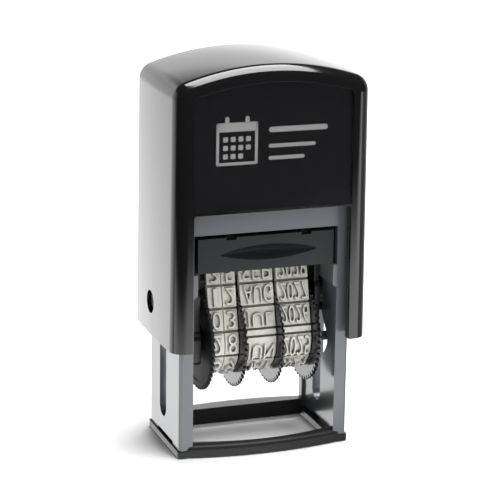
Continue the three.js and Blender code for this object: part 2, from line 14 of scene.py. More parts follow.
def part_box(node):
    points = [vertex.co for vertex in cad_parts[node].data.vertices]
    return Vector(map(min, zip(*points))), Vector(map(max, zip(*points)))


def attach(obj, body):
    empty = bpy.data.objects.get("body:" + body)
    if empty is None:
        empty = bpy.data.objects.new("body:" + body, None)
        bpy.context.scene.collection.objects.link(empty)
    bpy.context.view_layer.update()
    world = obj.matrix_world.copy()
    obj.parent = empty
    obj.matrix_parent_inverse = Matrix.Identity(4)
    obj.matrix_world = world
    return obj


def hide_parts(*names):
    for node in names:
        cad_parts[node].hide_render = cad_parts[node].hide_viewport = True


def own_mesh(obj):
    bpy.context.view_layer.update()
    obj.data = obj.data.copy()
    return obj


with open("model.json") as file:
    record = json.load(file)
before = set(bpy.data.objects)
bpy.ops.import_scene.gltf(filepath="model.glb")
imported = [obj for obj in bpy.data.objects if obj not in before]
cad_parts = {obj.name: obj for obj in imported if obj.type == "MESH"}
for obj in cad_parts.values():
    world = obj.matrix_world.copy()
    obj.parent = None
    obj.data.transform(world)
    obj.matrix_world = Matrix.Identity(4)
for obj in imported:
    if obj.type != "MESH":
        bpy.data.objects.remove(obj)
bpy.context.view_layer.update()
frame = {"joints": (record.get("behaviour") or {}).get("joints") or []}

MM = 0.001
RANDOM = random.Random(11)
JOINTS = {joint["name"]: joint for joint in frame["joints"]}
PIVOT = Vector(JOINTS["carrier_flip"]["pos_m"]) / MM
WHEEL_AXIS = Vector(JOINTS["wheel_turn_month"]["pos_m"]) / MM
TRAVEL = JOINTS["cap_slide"]["range_m"][1] / MM


def node_box(node):
    """Lowest and highest corner of a CAD node, in millimetres."""
    low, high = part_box(node)
    return low / MM, high / MM


CAP_LOW, CAP_HIGH = node_box("cap_shell")
FRAME_LOW, FRAME_HIGH = node_box("frame_housing")
FOOT_LOW, FOOT_HIGH = node_box("foot_ring")
TRAY_LOW, TRAY_HIGH = node_box("pad_tray")

# cap
CAP_HALF_X = CAP_HIGH.x
CAP_HALF_Y = CAP_HIGH.y
CROWN_RADIUS = 55.5
SHOULDER = 3.5
CAP_FILLET = 2.6
CAP_BOW = 0.4
CAP_DRAFT = 0.0004
CAP_SIDE_WALL = 1.6
CAP_FRONT_WALL = 2.0
CAP_ROOF = 2.2
ROOF_SHOULDER = 1.5
PIN_HOLE = 2.25
POST_RADIUS = 3.6
POST_LENGTH = 7.0
OPENING_HALF_X = 15.7
OPENING_TOP = 48.5
OPENING_CORNER = 0.6
# label: a recess in the cap's front, with the printed card behind the clear window
PANEL_HALF_X = 15.7
PANEL_BOTTOM = 48.9
PANEL_CROWN = 72.8
PANEL_CORNER = 0.8
PANEL_GAP = 0.12
PANEL_RECESS = 1.0
WINDOW_DEPTHS = (0.05, 0.65)
CARD_DEPTHS = (0.7, 0.95)
PRINT_DEPTH = 0.66
PRINT_THICKNESS = 0.03
# frame
FRAME_WALL = 2.2
POST_DEPTH = 1.7
FRAME_CORNER = 0.7
FRAME_WINDOW = 14.4
BAY_TOP = 43.75
DECK = 1.0
BACK_STOP_LOW = 36.9
BACK_STOP_DEPTH = 1.2
COLLAR_OUTER = 7.4
COLLAR_INNER = 6.2
RAIL_HALF_X = 13.6
RAIL_ROOT_X = 15.3
RAIL_HIGH = 36.1
RAIL_LOW = 32.0
RAIL_ROOT_LOW = 30.8
SLOT_HALF = 2.05
SLOT_BOTTOM = 5.0
SLOT_TOP = 31.0
GUIDE_ARM = 4.0
GUIDE_GROOVE = 1.2
GUIDE_DEPTH = 16.2
CLIP_FRONT = -5.2
CLIP_BACK = 4.2
CLIP_HEIGHT = 0.6
# foot
FOOT_HALF_Y = 9.9
FOOT_PLATE = 1.25
FRONT_LIP = 2.5
LIP_HALF_X = 15.4
LIP_BULGE = 1.7
LIP_ROLL = 1.5
HOLE_HALF_X = 13.8
HOLE_BACK = 7.0
HOLE_FRONT = -8.0
HOLE_BULGE = 2.2
# ink cartridge
TRAY_HALF_X = 13.6
TRAY_WALL = 1.2
TRAY_BACK_LOW = 38.2
RUNNER_FRONT = 1.6
RUNNER_HEIGHT = 1.5
NOTCHES = (-7, 8)
SCOOP_X = 0.5
SCOOP_HALF_X = 10.1
SCOOP_LOW = 38.2
SCOOP_HIGH = 41.2
SCOOP_DEPTH = 1.85
# the scoop's section, from its lower edge to its upper one: share of the depth, share of the height
SCOOP_SECTION = ((0, 0), (0.36, 0.12), (0.7, 0.26), (0.92, 0.38), (1, 0.5), (0.92, 0.64), (0.65, 0.82), (0, 1))
# carrier
CHEEK_OUTER = 13.4
LEFT_CHEEK_INNER = 11.1
RIGHT_CHEEK_INNER = 12.3
CHEEK_CORNER = 1.8
CHEEK_WIDE = 5.6
CHEEK_MIDDLE = 4.6
CHEEK_NARROW = 4.0
CHEEK_BELOW_PIVOT = 12.4
CHEEK_ABOVE_PIVOT = 7.7
POCKET_HALF_Y = 2.9
POCKET_LOW = 2.6
POCKET_HIGH = 6.6
POCKET_DEPTH = 0.3
FACE_REACH = 9.4
AXLE_RADIUS = 1.2
AXLE_HOLE = 1.25
PIN_RADIUS = 1.9
PIN_CHEEK_HOLE = 1.95
PIN_SHOULDER = 18.6
PIN_TIP = 19.1
PIN_TIP_RADIUS = 1.45
PIN_DIMPLE = 0.5
GUIDE_PIN_RADIUS = 0.9
GUIDE_PIN_TIP = 15.9
BRIDGE_HALF_Y = 1.35
BRIDGE_START = 3.6
FINS = (-3.44, 4.17)
FIN_HALF_X = 0.18
FIN_HALF_Y = 2.7
FIN_RISE = 1.1
# bands
BAND_TOTAL = 1.9
BAND_PLATE = 1.2
BAND_BASE = 0.6
BAND_INNER_WHEEL = 5.4
BAND_INNER_TOP = 0.4
BAND_HALF_FLAT = 1.2
BAND_NEUTRAL = 0.45
CELLS = 12
PITCH = 4.5
PLATE_HALF = 2.08
PLATE_SLOPE = 0.07
STRIP_GAP = 0.12
STRIP_EXTRA = 0.12
GLYPH_HEIGHT = 3.55
GLYPH_ROOT = 0.25
# how much of the band's width the characters fill, by their number
GLYPH_WIDTHS = {1: 0.66, 3: 0.87, 4: 0.9}


# ---- mesh helpers ------------------------------------------------------------------------------
def make(name, bm):
    """A new object from an edited mesh."""
    mesh = bpy.data.meshes.new(name)
    bm.to_mesh(mesh)
    bm.free()
    piece = bpy.data.objects.new(name, mesh)
    bpy.context.scene.collection.objects.link(piece)
    return piece


def bake(piece):
    """Applies the piece's modifiers to its mesh."""
    bpy.context.view_layer.update()
    evaluated = piece.evaluated_get(bpy.context.evaluated_depsgraph_get())
    mesh = bpy.data.meshes.new_from_object(evaluated)
    old = piece.data
    piece.modifiers.clear()
    piece.data = mesh
    bpy.data.meshes.remove(old)
    return piece


AXES = {
    "x": lambda u, v, w: (w, u, v),
    "y": lambda u, v, w: (u, w, v),
    "z": lambda u, v, w: (u, v, w),
}


def loft(bm, rings):
    """Faces between each ring of points and the next."""
    for ring, following in zip(rings, rings[1:]):
        for i, vertex in enumerate(ring):
            j = (i + 1) % len(ring)
            bm.faces.new((vertex, ring[j], following[j], following[i]))


def closed(name, bm):
    """A closed mesh as a new object, its faces turned outward."""
    bmesh.ops.recalc_face_normals(bm, faces=bm.faces)
    return make(name, bm)


def tube(name, bm, rings):
    """Rings of points, one after the other, as a solid with two flat ends."""
    loft(bm, rings)
    bm.faces.new(rings[0])
    bm.faces.new(rings[-1])
    return closed(name, bm)


def prism(points, axis, low, high, name="prism"):
    """A closed outline, drawn across the axis, stretched from low to high along it."""
    place = AXES[axis]
    bm = bmesh.new()
    near = [bm.verts.new(place(u, v, low)) for u, v in points]
    far = [bm.verts.new(place(u, v, high)) for u, v in points]
    bm.faces.new(near)
    bm.faces.new(far)
    loft(bm, [near, far])
    return closed(name, bm)


def block(low, high, name="block"):
    outline = [(low[0], low[1]), (high[0], low[1]), (high[0], high[1]), (low[0], high[1])]
    return prism(outline, "z", low[2], high[2], name)


def arc(u, v, radius, start, end, steps):
    """Points on an arc, angles in degrees, both ends included."""
    angles = [math.radians(start + (end - start) * i / steps) for i in range(steps + 1)]
    return [(u + radius * math.cos(a), v + radius * math.sin(a)) for a in angles]


def round_rect(u0, u1, v0, v1, r, steps=6):
    """Rectangle with round corners."""
    return (arc(u1 - r, v0 + r, r, -90, 0, steps) + arc(u1 - r, v1 - r, r, 0, 90, steps)
            + arc(u0 + r, v1 - r, r, 90, 180, steps) + arc(u0 + r, v0 + r, r, 180, 270, steps))


def circle(u, v, radius, steps):
    return arc(u, v, radius, 0, 360 * (steps - 1) / steps, steps - 1)


def arched(half, bottom, crown, crown_radius, shoulder, steps=28):
    """Upright outline under an arched top with round shoulders."""
    centre = crown - crown_radius
    x = half - shoulder
    z = centre + math.sqrt((crown_radius - shoulder) ** 2 - x ** 2)
    lean = math.degrees(math.atan2(z - centre, x))
    return ([(-half, bottom), (half, bottom)] + arc(x, z, shoulder, 0, lean, 8)
            + arc(0, centre, crown_radius, lean, 180 - lean, steps)[1:-1]
            + arc(-x, z, shoulder, 180 - lean, 180, 8))


def boolean(operation, target, others):
    for other in others:
        modifier = target.modifiers.new("boolean", "BOOLEAN")
        modifier.operation = operation
        modifier.solver = "EXACT"
        modifier.object = other
        bake(target)
        bpy.data.objects.remove(other, do_unlink=True)
    return target


def cut(target, *cutters):
    return boolean("DIFFERENCE", target, cutters)


def join(target, *others):
    return boolean("UNION", target, others)


def bevel(piece, width, segments, angle):
    """Rounds the edges that are sharper than the angle."""
    modifier = piece.modifiers.new("bevel", "BEVEL")
    modifier.width = width
    modifier.segments = segments
    modifier.limit_method = "ANGLE"
    modifier.angle_limit = math.radians(angle)
    modifier.use_clamp_overlap = True
    return bake(piece)


def tidy(piece):
    """Merges doubled points and drops what has no area."""
    distance = 1e-4
    bm = bmesh.new()
    bm.from_mesh(piece.data)
    bmesh.ops.remove_doubles(bm, verts=bm.verts, dist=distance)
    bmesh.ops.dissolve_degenerate(bm, edges=bm.edges, dist=distance)
    bm.to_mesh(piece.data)
    bm.free()
    return piece


def merged(name, parts):
    """Several closed meshes as one piece, side by side in one mesh."""
    bm = bmesh.new()
    for part in parts:
        bm.from_mesh(part.data)
        bpy.data.objects.remove(part, do_unlink=True)
    return make(name, bm)


def finish_piece(piece, name, body, material, nodes, angle):
    """Smooth shading, metres, material, and the body that the piece rides on."""
    piece.name = name
    piece.data.name = name
    piece.data.transform(Matrix.Scale(MM, 4))
    for polygon in piece.data.polygons:
        polygon.use_smooth = True
    piece.data.set_sharp_from_angle(angle=math.radians(angle))
    weighted = piece.modifiers.new("weighted normals", "WEIGHTED_NORMAL")
    weighted.keep_sharp = True
    piece.data.materials.clear()
    piece.data.materials.append(material)
    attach(piece, body)
    if nodes:
        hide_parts(*nodes)
    return piece


# ---- materials ---------------------------------------------------------------------------------
class Look:
    """One node material: a principled shader with its own noise for tone, roughness and bump."""

    def __init__(self, name, color, roughness, **sockets):
        self.material = bpy.data.materials.new(name)
        self.material.use_nodes = True
        self.nodes = self.material.node_tree.nodes
        self.links = self.material.node_tree.links
        self.shader = self.nodes["Principled BSDF"]
        self.shader.inputs["Base Color"].default_value = (*color, 1)
        self.shader.inputs["Roughness"].default_value = roughness
        for socket, value in sockets.items():
            self.shader.inputs[socket.replace("_", " ")].default_value = value
        self.color = color
        self.roughness = roughness
        self.coordinates = self.nodes.new("ShaderNodeTexCoord")

    def noise(self, scale, detail):
        texture = self.nodes.new("ShaderNodeTexNoise")
        texture.inputs["Scale"].default_value = scale
        texture.inputs["Detail"].default_value = detail
        self.links.new(self.coordinates.outputs["Object"], texture.inputs["Vector"])
        return texture.outputs["Fac"]

    def ramp(self, factor, low, high, to_low, to_high):
        mapped = self.nodes.new("ShaderNodeMapRange")
        mapped.inputs["From Min"].default_value = low
        mapped.inputs["From Max"].default_value = high
        mapped.inputs["To Min"].default_value = to_low
        mapped.inputs["To Max"].default_value = to_high
        self.links.new(factor, mapped.inputs["Value"])
        return mapped.outputs["Result"]

    def vary_roughness(self, scale, spread):
        smoothest, roughest = max(self.roughness - spread, 0.02), self.roughness + spread
        value = self.ramp(self.noise(scale, 5), 0.3, 0.7, smoothest, roughest)
        self.links.new(value, self.shader.inputs["Roughness"])
        return self

    def vary_color(self, scale, other):
        """Patches of another colour among the first."""
        mix = self.nodes.new("ShaderNodeMix")
        mix.data_type = "RGBA"
        mix.inputs["A"].default_value = (*self.color, 1)
        mix.inputs["B"].default_value = (*other, 1)
        self.links.new(self.ramp(self.noise(scale, 6), 0.35, 0.7, 0, 1), mix.inputs["Factor"])
        self.links.new(mix.outputs["Result"], self.shader.inputs["Base Color"])
        return self

    def paint_recess_shade(self, color, reach):
        """Painted shade: darkens the base colour towards the given colour in narrow recesses; reach in
        millimetres.
        """
        hollow = self.nodes.new("ShaderNodeAmbientOcclusion")
        hollow.samples = 8
        hollow.only_local = True
        hollow.inputs["Distance"].default_value = reach * MM
        mix = self.nodes.new("ShaderNodeMix")
        mix.data_type = "RGBA"
        mix.inputs["A"].default_value = (*color, 1)
        self.links.new(self.shader.inputs["Base Color"].links[0].from_socket, mix.inputs["B"])
        self.links.new(self.ramp(hollow.outputs["AO"], 0.25, 0.85, 0, 1), mix.inputs["Factor"])
        self.links.new(mix.outputs["Result"], self.shader.inputs["Base Color"])
        return self

    def grain(self, scale, strength, distance):
        """Bump from fine noise; distance in millimetres."""
        bump = self.nodes.new("ShaderNodeBump")
        bump.inputs["Strength"].default_value = strength
        bump.inputs["Distance"].default_value = distance * MM
        self.links.new(self.noise(scale, 3), bump.inputs["Height"])
        self.links.new(bump.outputs["Normal"], self.shader.inputs["Normal"])
        return self


def make_looks():
    """Every material of the scene, by a short name."""
    looks = {
        "gloss_black": Look("gloss black plastic", (0.0045, 0.0045, 0.005), 0.1)
        .vary_roughness(160, 0.02).vary_color(5000, (0.006, 0.006, 0.0065)).grain(900, 0.1, 0.004),
        "panel_gloss": Look("clear window", (0.006, 0.006, 0.007), 0.09, Alpha=0.3)
        .vary_roughness(160, 0.02).grain(900, 0.1, 0.004),
        "card": Look("black card", (0.010, 0.010, 0.011), 0.75, Specular_IOR_Level=0.1)
        .vary_roughness(2000, 0.05).vary_color(6000, (0.012, 0.012, 0.013)).grain(9000, 0.05, 0.004),
        "print": Look("off-white print", (0.62, 0.62, 0.6), 0.6)
        .vary_roughness(3000, 0.08).vary_color(6000, (0.55, 0.55, 0.53)).grain(9000, 0.2, 0.01),
        "frame_grey": Look("grey frame plastic", (0.104, 0.108, 0.122), 0.2)
        .vary_roughness(2500, 0.03).vary_color(6000, (0.098, 0.102, 0.115)).grain(7000, 0.08, 0.005),
        "foot_grey": Look("dark foot plastic", (0.017, 0.017, 0.018), 0.36, Specular_IOR_Level=0.16)
        .vary_roughness(2500, 0.04).vary_color(5000, (0.015, 0.015, 0.016)).grain(6000, 0.05, 0.003),
        # painted sheen: a lighter, shinier copy of the foot plastic for the foot's top
        "foot_painted_sheen": Look("foot plastic, painted sheen on top", (0.03, 0.03, 0.028), 0.22, Specular_IOR_Level=1.0)
        .vary_roughness(2500, 0.04).vary_color(5000, (0.025, 0.025, 0.023)).grain(6000, 0.01, 0.001),
        "tray_grey": Look("dark cartridge plastic", (0.014, 0.015, 0.016), 0.34, Specular_IOR_Level=0.2)
        .vary_roughness(2500, 0.06).vary_color(5000, (0.017, 0.018, 0.019)).grain(8000, 0.1, 0.005),
        "felt": Look("ink foam", (0.008, 0.008, 0.013), 0.9)
        .vary_roughness(1500, 0.08).vary_color(2500, (0.02, 0.02, 0.03)).grain(3500, 1.0, 0.15),
        "carrier_black": Look("black carrier plastic", (0.006, 0.006, 0.008), 0.34, Specular_IOR_Level=0.35)
        .vary_roughness(2500, 0.05).vary_color(5000, (0.008, 0.008, 0.010)).grain(7000, 0.12, 0.005),
        "wheel_black": Look("black wheel plastic", (0.006, 0.006, 0.007), 0.2, Specular_IOR_Level=0.4)
        .vary_roughness(2500, 0.05).vary_color(5000, (0.008, 0.008, 0.009)).grain(7000, 0.12, 0.005),
        # painted shade: a duller copy of the wheel plastic that reflects less, for the outer left disc
        "wheel_shaded_copy": Look("wheel plastic, copy for painted shade", (0.02, 0.021, 0.024), 0.5, Specular_IOR_Level=0.1)
        .vary_roughness(2500, 0.05).vary_color(5000, (0.015, 0.016, 0.018)).grain(7000, 0.12, 0.005),
        # the rubber's narrow recesses get painted shade from ambient occlusion
        "rubber": Look("beige-grey rubber", (0.64, 0.635, 0.585), 0.42)
        .vary_roughness(2000, 0.08).vary_color(1400, (0.54, 0.535, 0.485)).paint_recess_shade((0.05, 0.05, 0.045), 0.7)
        .grain(5000, 0.3, 0.015),
        "steel": Look("drawn steel", (0.62, 0.62, 0.64), 0.28, Metallic=1.0)
        .vary_roughness(3000, 0.06).vary_color(3000, (0.54, 0.54, 0.56)).grain(7000, 0.3, 0.01),
        "floor": Look("white table", (0.92, 0.92, 0.92), 0.8).vary_roughness(20, 0.05),
    }
    return {name: look.material for name, look in looks.items()}


LOOKS = make_looks()


# ---- cap ---------------------------------------------------------------------------------------
def draft(piece):
    """The cap's sections shrink a little towards its top."""
    for vertex in piece.data.vertices:
        scale = 1 - CAP_DRAFT * (vertex.co.z - CAP_LOW.z)
        vertex.co.x *= scale
        vertex.co.y *= scale
    return piece


def pillow_block():
    """Solid with the cap's front outline: sides and top bow a little, and round off at front and back."""
    round_steps, bow_steps = 10, 8
    flat = CAP_HALF_Y - CAP_FILLET
    stations = []
    for i in range(round_steps + 1):
        angle = math.radians(90 * i / round_steps)
        stations.append((-CAP_HALF_Y + CAP_FILLET * (1 - math.cos(angle)), CAP_FILLET * (1 - math.sin(angle))))
    stations += [(flat * (2 * i / bow_steps - 1), 0) for i in range(1, bow_steps)]
    stations += [(-y, inset) for y, inset in stations[round_steps::-1]]
    bm = bmesh.new()
    rings = []
    for y, corner in stations:
        inset = corner + CAP_BOW * (y / CAP_HALF_Y) ** 2
        outline = arched(CAP_HALF_X - inset, CAP_LOW.z, CAP_HIGH.z - inset,
                         CROWN_RADIUS - inset, SHOULDER - inset)
        rings.append([bm.verts.new((x, y, z)) for x, z in outline])
    return tube("cap", bm, rings)


def panel_outline(grow):
    """The label's outline, with its top along the cap's crown, grown on every side."""
    crown = CAP_HIGH.z - CROWN_RADIUS
    return arched(PANEL_HALF_X + grow, PANEL_BOTTOM - grow, PANEL_CROWN + grow,
                  PANEL_CROWN - crown + grow, PANEL_CORNER + grow, 40)


def make_cap():
    """Hollow cap, open at the bottom and in front, with the post that centres the spring."""
    cap = pillow_block()
    inner_x = CAP_HALF_X - CAP_SIDE_WALL
    roof = arched(inner_x, CAP_LOW.z - 1, CAP_HIGH.z - CAP_ROOF, CROWN_RADIUS - CAP_ROOF, ROOF_SHOULDER)
    opening = round_rect(-OPENING_HALF_X, OPENING_HALF_X, 0, OPENING_TOP, OPENING_CORNER)
    front = -CAP_HALF_Y
    back = CAP_HALF_Y
    cut(
        cap,
        prism(roof, "y", front + CAP_FRONT_WALL, back - CAP_SIDE_WALL),
        prism(opening, "y", front - 1, front + 3),
        prism(circle(PIVOT.y, PIVOT.z, PIN_HOLE, 40), "x", -CAP_HALF_X - 1, CAP_HALF_X + 1),
        prism(panel_outline(PANEL_GAP), "y", front - 1, front + PANEL_RECESS),
    )
    tidy(cap)
    bevel(cap, 0.32, 3, 40)
    draft(cap)
    post_top = CAP_HIGH.z - CAP_ROOF - 0.4
    post = prism(circle(0, 0, POST_RADIUS, 40), "z", post_top - POST_LENGTH, post_top + 0.8)
    bevel(post, 0.4, 3, 40)
    cap = merged("cap", [cap, post])
    return finish_piece(cap, "cap", "cap", LOOKS["gloss_black"], ["cap_shell"], 40)


def label_sheet(depths):
    """A sheet of the label's outline, between two depths behind the cap's front."""
    return prism(panel_outline(0), "y", -CAP_HALF_Y + depths[0], -CAP_HALF_Y + depths[1])


def make_label():
    """The card and the clear window in front of it."""
    window = label_sheet(WINDOW_DEPTHS)
    bevel(window, 0.12, 2, 40)
    draft(window)
    finish_piece(window, "label_window", "cap", LOOKS["panel_gloss"], ["index_window"], 40)
    window.visible_shadow = False
    card = label_sheet(CARD_DEPTHS)
    draft(card)
    finish_piece(card, "label_card", "cap", LOOKS["card"], ["index_card"], 40)


def make_print():
    """A plain calendar sign and three rules, printed on the card."""
    y = -CAP_HALF_Y + PRINT_DEPTH
    marks = []

    def bar(x0, x1, z0, z1, r=0.25):
        marks.append(prism(round_rect(x0, x1, z0, z1, r, 4), "y", y, y + PRINT_THICKNESS))

    left, low, wide, tall, line = -11.4, 57.6, 8.2, 8.0, 0.55
    bar(left, left + wide, low, low + line)
    bar(left, left + wide, low + tall - 1.7, low + tall)
    bar(left, left + line, low, low + tall)
    bar(left + wide - line, left + wide, low, low + tall)
    for x in (left + 2.1, left + wide - 2.1):
        bar(x - 0.4, x + 0.4, low + tall - 0.3, low + tall + 1.1, 0.35)
    for row in range(3):
        for column in range(4):
            x = left + 1.35 + column * 1.5
            z = low + 1.2 + row * 1.6
            if (row, column) != (0, 3):
                bar(x, x + 0.95, z, z + 0.95, 0.2)
    bar(-1.0, 10.8, 63.4, 64.4, 0.5)
    bar(-1.0, 8.4, 60.5, 61.2, 0.35)
    bar(-1.0, 6.2, 58.2, 58.9, 0.35)
    sign = merged("label_print", marks)
    draft(sign)
    finish_piece(sign, "label_print", "cap", LOOKS["print"], (), 40)


# ---- frame and foot ----------------------------------------------------------------------------
def mirrored_box(near, far, y0, y1, z0, z1):
    """Two boxes, left and right, the same distances from the middle."""
    return [block((-far, y0, z0), (-near, y1, z1)), block((near, y0, z0), (far, y1, z1))]


def guide_outline():
    """The track of a guide pin as one closed outline in (y, z), as wide as the groove, with round ends."""
    steps = 48
    centre = []
    for i in range(steps + 1):
        turn = math.pi * i / steps
        y = PIVOT.y - GUIDE_ARM * math.sin(turn)
        z = PIVOT.z - TRAVEL * turn / math.pi - GUIDE_ARM * math.cos(turn)
        centre.append(Vector((y, z)))
    outer, inner = [], []
    for i, point in enumerate(centre):
        along = (centre[min(i + 1, steps)] - centre[max(i - 1, 0)]).normalized()
        normal = Vector((along.y, -along.x)) * GUIDE_GROOVE
        outer.append(point + normal)
        inner.append(point - normal)
    inside = 0.999 * GUIDE_GROOVE
    inner = [p for p in inner if all((p - c).length >= inside for c in centre)]
    ends = []
    for point, before in ((centre[-1], centre[-2]), (centre[0], centre[1])):
        along = (point - before).normalized()
        heading = math.degrees(math.atan2(along.y, along.x))
        ends.append(arc(point.x, point.y, GUIDE_GROOVE, heading - 90, heading + 90, 8)[1:-1])
    return [tuple(p) for p in outer] + ends[0] + [tuple(p) for p in inner[::-1]] + ends[1]


def make_frame():
    """Slotted side walls and four corner posts, with rails for the cartridge and a deck inside the top rim."""
    half_x, half_y = FRAME_HIGH.x, FRAME_HIGH.y
    inner_x, inner_y = half_x - FRAME_WALL, half_y - POST_DEPTH
    deck = BAY_TOP + DECK
    section = round_rect(-half_x, half_x, -half_y, half_y, FRAME_CORNER, 5)
    body = prism(section, "z", FRAME_LOW.z, FRAME_HIGH.z, "frame")
    cut(
        body,
        block((-FRAME_WINDOW, -half_y - 1, 0), (FRAME_WINDOW, half_y + 1, BAY_TOP)),
        block((-inner_x, -inner_y, 0), (inner_x, inner_y, BAY_TOP)),
        block((-inner_x, -inner_y, deck), (inner_x, inner_y, FRAME_HIGH.z + 1)),
    )
    stop = block((-FRAME_WINDOW - 0.3, half_y - BACK_STOP_DEPTH, BACK_STOP_LOW),
                 (FRAME_WINDOW + 0.3, half_y, BAY_TOP + 1))
    collar = cut(prism(circle(0, 0, COLLAR_OUTER, 64), "z", deck - 0.5, FRAME_HIGH.z),
                 prism(circle(0, 0, COLLAR_INNER, 64), "z", deck - 1, FRAME_HIGH.z + 1))
    rails = []
    for side in (-1, 1):
        edge, root = side * RAIL_HALF_X, side * RAIL_ROOT_X
        rail = [(edge, RAIL_HIGH), (edge, RAIL_LOW), (root, RAIL_ROOT_LOW), (root, RAIL_HIGH)]
        rails.append(prism(rail, "y", -half_y, half_y))
    join(body, stop, collar, *rails)
    slot = round_rect(PIVOT.y - SLOT_HALF, PIVOT.y + SLOT_HALF, SLOT_BOTTOM, SLOT_TOP, SLOT_HALF - 0.02, 12)
    cut(body, prism(slot, "x", -half_x - 1, half_x + 1))
    near = inner_x - 0.5
    cut(
        body,
        prism(guide_outline(), "x", -GUIDE_DEPTH, -near),
        prism(guide_outline(), "x", near, GUIDE_DEPTH),
        *mirrored_box(inner_x - 1, half_x + 1, CLIP_FRONT, CLIP_BACK, 0, FRAME_LOW.z + CLIP_HEIGHT),
    )
    tidy(body)
    bevel(body, 0.22, 3, 40)
    return finish_piece(body, "frame", "frame", LOOKS["frame_grey"], ["frame_housing"], 40)


def lip_ring(sign, height):
    """One lip of the foot, front or back: bowed in plan, with its upper outer edge rolled in."""
    steps, rises = 24, 8
    inner = 6.6 if sign > 0 else 7.6
    roll_start = FOOT_PLATE + 0.1
    profile = [(0, 0), (0, FOOT_PLATE)]
    for i in range(rises + 1):
        angle = math.radians(90 * i / rises)
        rise = roll_start + (height - roll_start) * math.sin(angle)
        profile.append((LIP_ROLL * (1 - math.cos(angle)), rise))
    bm = bmesh.new()
    rings = []
    for i in range(steps + 1):
        x = LIP_HALF_X * (2 * i / steps - 1)
        edge = FOOT_HALF_Y + LIP_BULGE * (1 - (x / LIP_HALF_X) ** 2)
        ring = [bm.verts.new((x, sign * (edge - inset), z)) for inset, z in profile]
        ring.append(bm.verts.new((x, sign * inner, height)))
        ring.append(bm.verts.new((x, sign * inner, 0)))
        rings.append(ring)
    return tube("lip", bm, rings)


def foot_hole():
    """The hole that the print comes through: straight at the back, bowed in front."""
    steps = 24
    points = [(HOLE_HALF_X, HOLE_BACK), (-HOLE_HALF_X, HOLE_BACK)]
    for i in range(steps + 1):
        x = HOLE_HALF_X * (2 * i / steps - 1)
        points.append((x, HOLE_FRONT - HOLE_BULGE * (1 - (x / HOLE_HALF_X) ** 2)))
    return prism(points, "z", -1, 5)


def make_foot():
    """Flat ring with a bowed lip in front and a higher one at the back; its top has a painted sheen."""
    half_x = FOOT_HIGH.x
    section = round_rect(-half_x, half_x, -FOOT_HALF_Y, FOOT_HALF_Y, FRAME_CORNER, 5)
    foot = prism(section, "z", 0, FOOT_PLATE, "foot")
    join(foot, lip_ring(-1, FRONT_LIP), lip_ring(1, FOOT_HIGH.z))
    clear_x, clear_y = FRAME_WINDOW - 0.15, FRAME_HIGH.y + 0.15
    cut(foot, foot_hole(), *mirrored_box(clear_x, half_x + 1, -clear_y, clear_y, FOOT_PLATE, 5))
    tidy(foot)
    bevel(foot, 0.16, 3, 40)
    finish_piece(foot, "foot", "frame", LOOKS["foot_grey"], ["foot_ring"], 40)
    # faces higher than the front lip take the lighter, shinier copy: painted sheen
    foot.data.materials.append(LOOKS["foot_painted_sheen"])
    for polygon in foot.data.polygons:
        if polygon.center.z > (FRONT_LIP + 0.1) * MM:
            polygon.material_index = 1


def make_spring():
    """Coil spring with closed ends, between the frame's deck and the cap's roof."""
    low, high = node_box("return_spring")
    wire, radius = 0.45, 4.55
    turns, end_turns, per_turn, sides = 8.0, 1.0, 36, 10
    z0, z1 = low.z + wire, high.z - wire
    bm = bmesh.new()
    rings = []
    count = int(turns * per_turn)
    dead = end_turns / turns
    for i in range(count + 1):
        t = i / count
        live = min(max((t - dead) / (1 - 2 * dead), 0), 1)
        ends = (min(t / dead, 1) + max((t - 1 + dead) / dead, 0)) * wire * 2
        z = z0 + ends + live * (z1 - z0 - 4 * wire)
        angle = t * turns * 2 * math.pi
        outward = Vector((math.cos(angle), math.sin(angle), 0))
        centre = outward * radius + Vector((0, 0, z))
        ring = []
        for k in range(sides):
            around = 2 * math.pi * k / sides
            rise = Vector((0, 0, wire * math.sin(around)))
            ring.append(bm.verts.new(centre + outward * wire * math.cos(around) + rise))
        rings.append(ring)
    spring = tube("spring", bm, rings)
    finish_piece(spring, "spring", "frame", LOOKS["steel"], ["return_spring"], 50)
    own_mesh(spring)


# ---- ink cartridge -----------------------------------------------------------------------------
def thumb_scoop():
    """Lens-shaped scoop, deepest along its middle."""
    steps = 28
    front = TRAY_LOW.y
    middle = (SCOOP_LOW + SCOOP_HIGH) / 2
    bm = bmesh.new()
    rings = []
    for i in range(1, steps):
        x = SCOOP_HALF_X * (2 * i / steps - 1)
        share = 1 - (x / SCOOP_HALF_X) ** 2
        top = middle + (SCOOP_HIGH - middle) * share
        bottom = middle + (SCOOP_LOW - middle) * share
        depth = SCOOP_DEPTH * share
        tall = top - bottom
        profile = [(front - 0.5, bottom - 0.15 * share)]
        profile += [(front + depth * deep, bottom + tall * up) for deep, up in SCOOP_SECTION]
        profile.append((front - 0.5, top + 0.1 * share))
        rings.append([bm.verts.new((SCOOP_X + x, y, z)) for y, z in profile])
    loft(bm, rings)
    for ring, x in ((rings[0], SCOOP_X - SCOOP_HALF_X), (rings[-1], SCOOP_X + SCOOP_HALF_X)):
        tip = bm.verts.new((x, front - 0.2, middle))
        for i, vertex in enumerate(ring):
            bm.faces.new((vertex, ring[(i + 1) % len(ring)], tip))
    return closed("scoop", bm)


